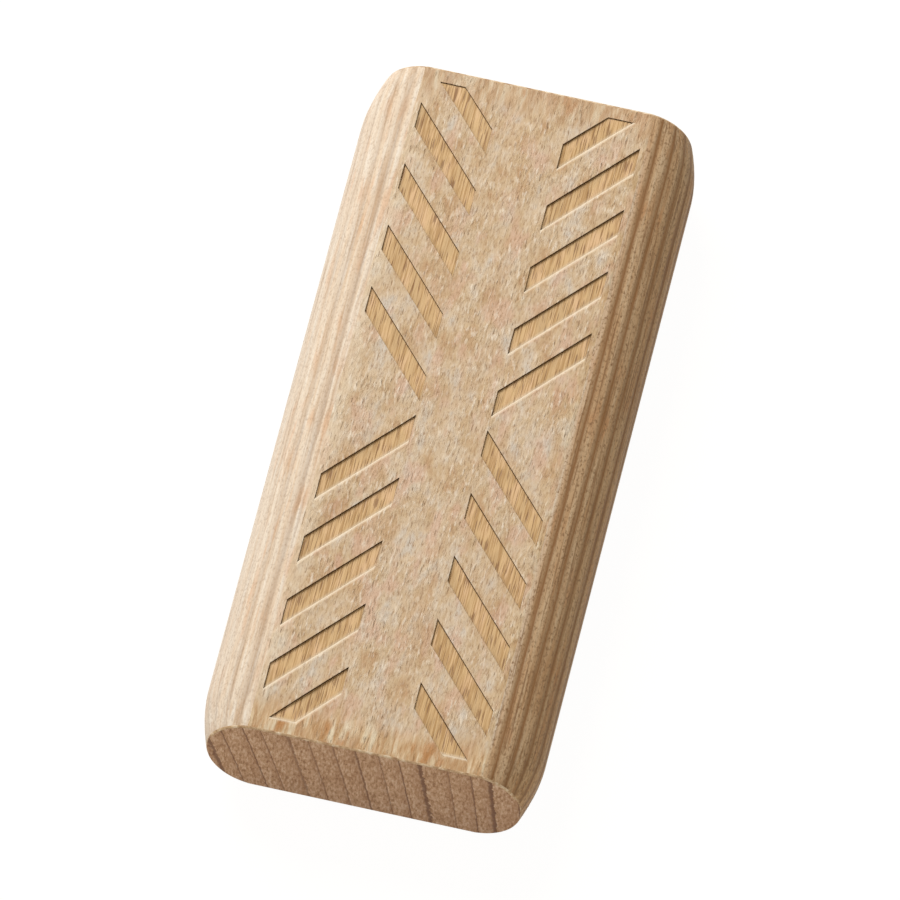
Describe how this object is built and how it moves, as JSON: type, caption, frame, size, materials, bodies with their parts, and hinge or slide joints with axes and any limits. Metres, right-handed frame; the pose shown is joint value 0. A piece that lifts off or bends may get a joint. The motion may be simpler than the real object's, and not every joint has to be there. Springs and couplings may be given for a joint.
{
  "type": "loose tenon",
  "caption": "Flat beech tenon with half-round grooved edges, tapered ends and slanted glue pockets pressed into both broad faces.",
  "frame": {"origin": "centre of the bar", "axes": "+X across the width, +Y along the length and the grain, +Z through the thickness, out of the upper broad face; the bar lies on its lower broad face"},
  "size_m": [0.022, 0.05, 0.008],
  "materials": {
    "beech": "bare milled and pressed beech, matt, no coating"
  },
  "bodies": {
    "root": {"tenon": "beech"}
  },
  "joints": []
}
